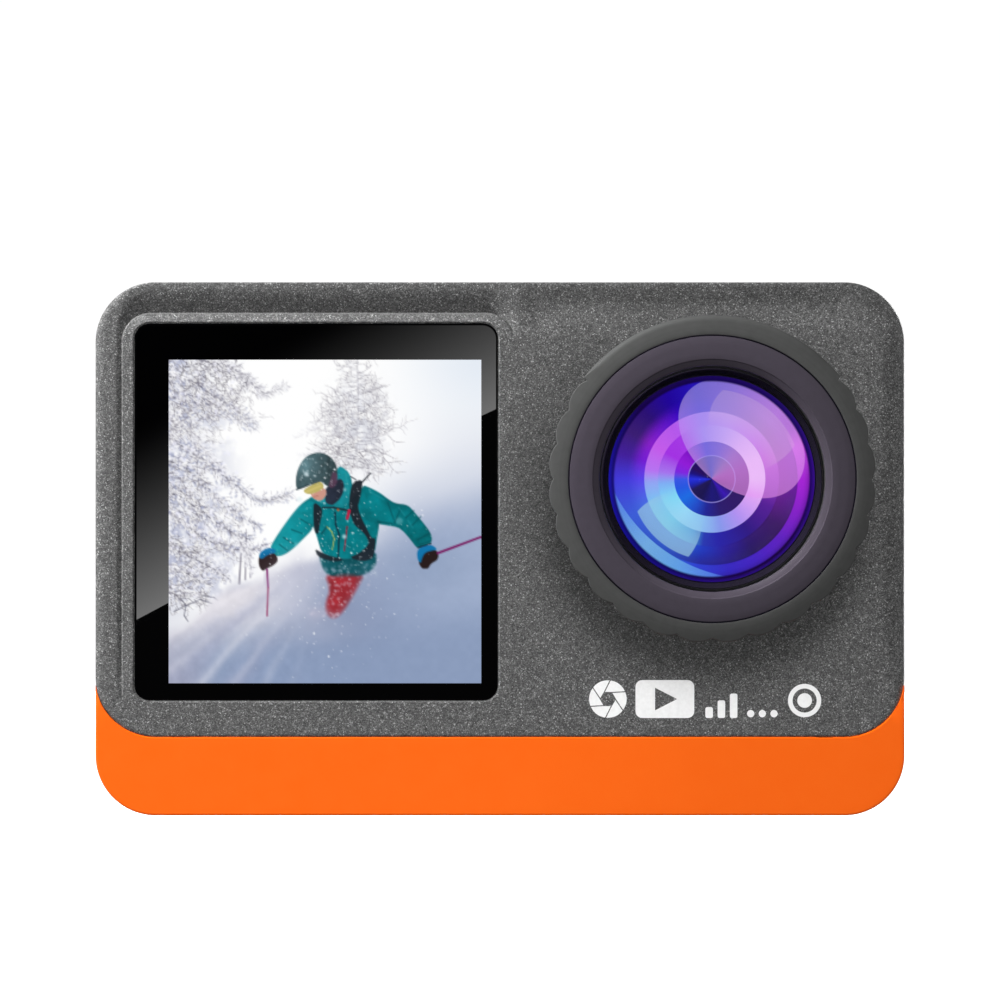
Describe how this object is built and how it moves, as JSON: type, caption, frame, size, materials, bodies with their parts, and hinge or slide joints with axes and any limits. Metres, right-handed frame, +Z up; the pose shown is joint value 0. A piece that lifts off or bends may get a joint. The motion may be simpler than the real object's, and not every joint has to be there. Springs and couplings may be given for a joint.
{
  "type": "action camera",
  "caption": "Palm-sized action camera with a square front display, a scalloped screw-on lens cover, a rear display, side port door, hinged battery door and tripod socket.",
  "frame": {"origin": "middle of the overall box on the face the camera stands on", "axes": "+X to the right seen from the front, +Y from the lens side to the rear display, +Z up; the lens looks along -Y"},
  "size_m": [0.066, 0.032, 0.0435],
  "materials": {
    "grained_grey_plastic": "sand-grained matt dark grey moulding with fine light sparkle",
    "orange_plastic": "smooth satin orange moulding",
    "black_glass": "polished black-backed cover glass",
    "clear_glass": "polished clear flat glass with a faint coating",
    "coated_glass": "polished lens glass with a violet and blue anti-reflection coating",
    "display_panel": "lit liquid crystal panel",
    "dark_ring": "dark anodised, fine satin",
    "violet_ring": "violet-grey anodised, satin",
    "barrel_black": "matt black with a violet cast",
    "rubber_black": "matt silicone rubber",
    "key_plastic": "fine satin dark grey moulding",
    "red_key": "satin red moulding",
    "inner_plastic": "plain black moulding",
    "cast_alloy": "die-cast, light satin",
    "board_green": "glass-fibre circuit board with green mask",
    "flex_amber": "amber flexible circuit",
    "chip_black": "moulded epoxy",
    "bright_steel": "bright stainless steel",
    "gold_contact": "gold-plated contacts",
    "brass_insert": "turned brass",
    "light_pipe": "frosted clear light pipe",
    "sensor_silicon": "ceramic package with silicon die",
    "cell_wrap": "satin dark grey cell case",
    "card_black": "plain black card"
  },
  "bodies": {
    "camera_body": {"front_shell": "grained_grey_plastic", "rear_shell": "grained_grey_plastic", "base_cover": "orange_plastic", "shell_gasket": "rubber_black", "front_display_glass": "black_glass", "front_display_panel": "display_panel", "front_display_backlight": "light_pipe", "front_display_flex": "flex_amber", "rear_display_glass": "black_glass", "rear_display_panel": "display_panel", "rear_display_backlight": "light_pipe", "display_adhesive_frames": "rubber_black", "lens_collar": "dark_ring", "lens_barrel": "barrel_black", "lens_front_element": "coated_glass", "lens_second_element": "coated_glass", "lens_third_element": "coated_glass", "lens_aperture_stop": "barrel_black", "lens_rear_element": "coated_glass", "lens_holder": "inner_plastic", "lens_cradle": "cast_alloy", "infrared_filter": "clear_glass", "image_sensor": "sensor_silicon", "sensor_board": "board_green", "sensor_flex": "flex_amber", "main_board": "board_green", "processor_shield": "bright_steel", "board_chips": "chip_black", "key_board": "board_green", "card_slot": "bright_steel", "usb_port": "bright_steel", "hdmi_port": "bright_steel", "battery_bay": "inner_plastic", "battery_contacts": "gold_contact", "shutter_switch": "chip_black", "power_switch": "chip_black", "side_switches": "flex_amber", "microphone": "gold_contact", "microphone_membrane": "rubber_black", "speaker": "chip_black", "wireless_antenna": "flex_amber", "status_light": "light_pipe", "tripod_insert": "brass_insert", "base_screws": "bright_steel", "shell_screws": "bright_steel", "battery_door_pin": "bright_steel", "port_door_pin": "bright_steel"},
    "cover_seal": {"lens_cover_seal": "rubber_black"},
    "lens_cover": {"lens_cover_ring": "dark_ring", "lens_cover_retainer": "violet_ring", "lens_cover_glass": "clear_glass"},
    "shutter_key": {"shutter_button": "red_key"},
    "power_key": {"power_button": "key_plastic"},
    "up_key": {"up_button": "key_plastic"},
    "down_key": {"down_button": "key_plastic"},
    "battery_door": {"battery_door": "orange_plastic"},
    "door_latch": {"battery_door_latch": "key_plastic"},
    "port_door": {"port_door": "key_plastic"},
    "battery": {"battery": "cell_wrap"},
    "memory_card": {"memory_card": "card_black"}
  },
  "joints": [
    {"name": "lens_cover_lift", "type": "slide", "parent": "camera_body", "child": "cover_seal", "axis": [0, -1, 0], "range_m": [0, 0.0023]},
    {"name": "lens_cover_turn", "type": "hinge", "parent": "cover_seal", "child": "lens_cover", "pos_m": [0.01725, 0, 0.02745], "axis": [0, -1, 0], "range_deg": [0, 540]},
    {"name": "shutter_press", "type": "slide", "parent": "camera_body", "child": "shutter_key", "axis": [0, 0, -1], "range_m": [0, 0.0004], "stiffness_N_per_m": 500, "springref_m": -0.0005},
    {"name": "power_press", "type": "slide", "parent": "camera_body", "child": "power_key", "axis": [0, 0, -1], "range_m": [0, 0.0004], "stiffness_N_per_m": 500, "springref_m": -0.0005},
    {"name": "up_press", "type": "slide", "parent": "camera_body", "child": "up_key", "axis": [1, 0, 0], "range_m": [0, 0.0004], "stiffness_N_per_m": 500, "springref_m": -0.0005},
    {"name": "down_press", "type": "slide", "parent": "camera_body", "child": "down_key", "axis": [1, 0, 0], "range_m": [0, 0.0004], "stiffness_N_per_m": 500, "springref_m": -0.0005},
    {"name": "battery_door_swing", "type": "hinge", "parent": "camera_body", "child": "battery_door", "pos_m": [0.0029, 0, 0.001], "axis": [0, -1, 0], "range_deg": [0, 100]},
    {"name": "battery_latch_slide", "type": "slide", "parent": "battery_door", "child": "door_latch", "axis": [-1, 0, 0], "range_m": [0, 0.0012]},
    {"name": "battery_eject", "type": "slide", "parent": "camera_body", "child": "battery", "axis": [0, 0, -1], "range_m": [0, 0.002]},
    {"name": "port_door_swing", "type": "hinge", "parent": "camera_body", "child": "port_door", "pos_m": [0.03195, 0.0129, 0.025], "axis": [0, 0, 1], "range_deg": [0, 100]},
    {"name": "memory_card_push", "type": "slide", "parent": "camera_body", "child": "memory_card", "axis": [-1, 0, 0], "range_m": [0, 0.0008], "stiffness_N_per_m": 300, "springref_m": -0.0006}
  ],
  "couplings": [
    {"joint": "lens_cover_lift", "follows": "lens_cover_turn", "m_per_rad": 0.00023873},
    {"joint": "battery_eject", "follows": "battery_door_swing", "m_per_rad": 0.00114}
  ]
}
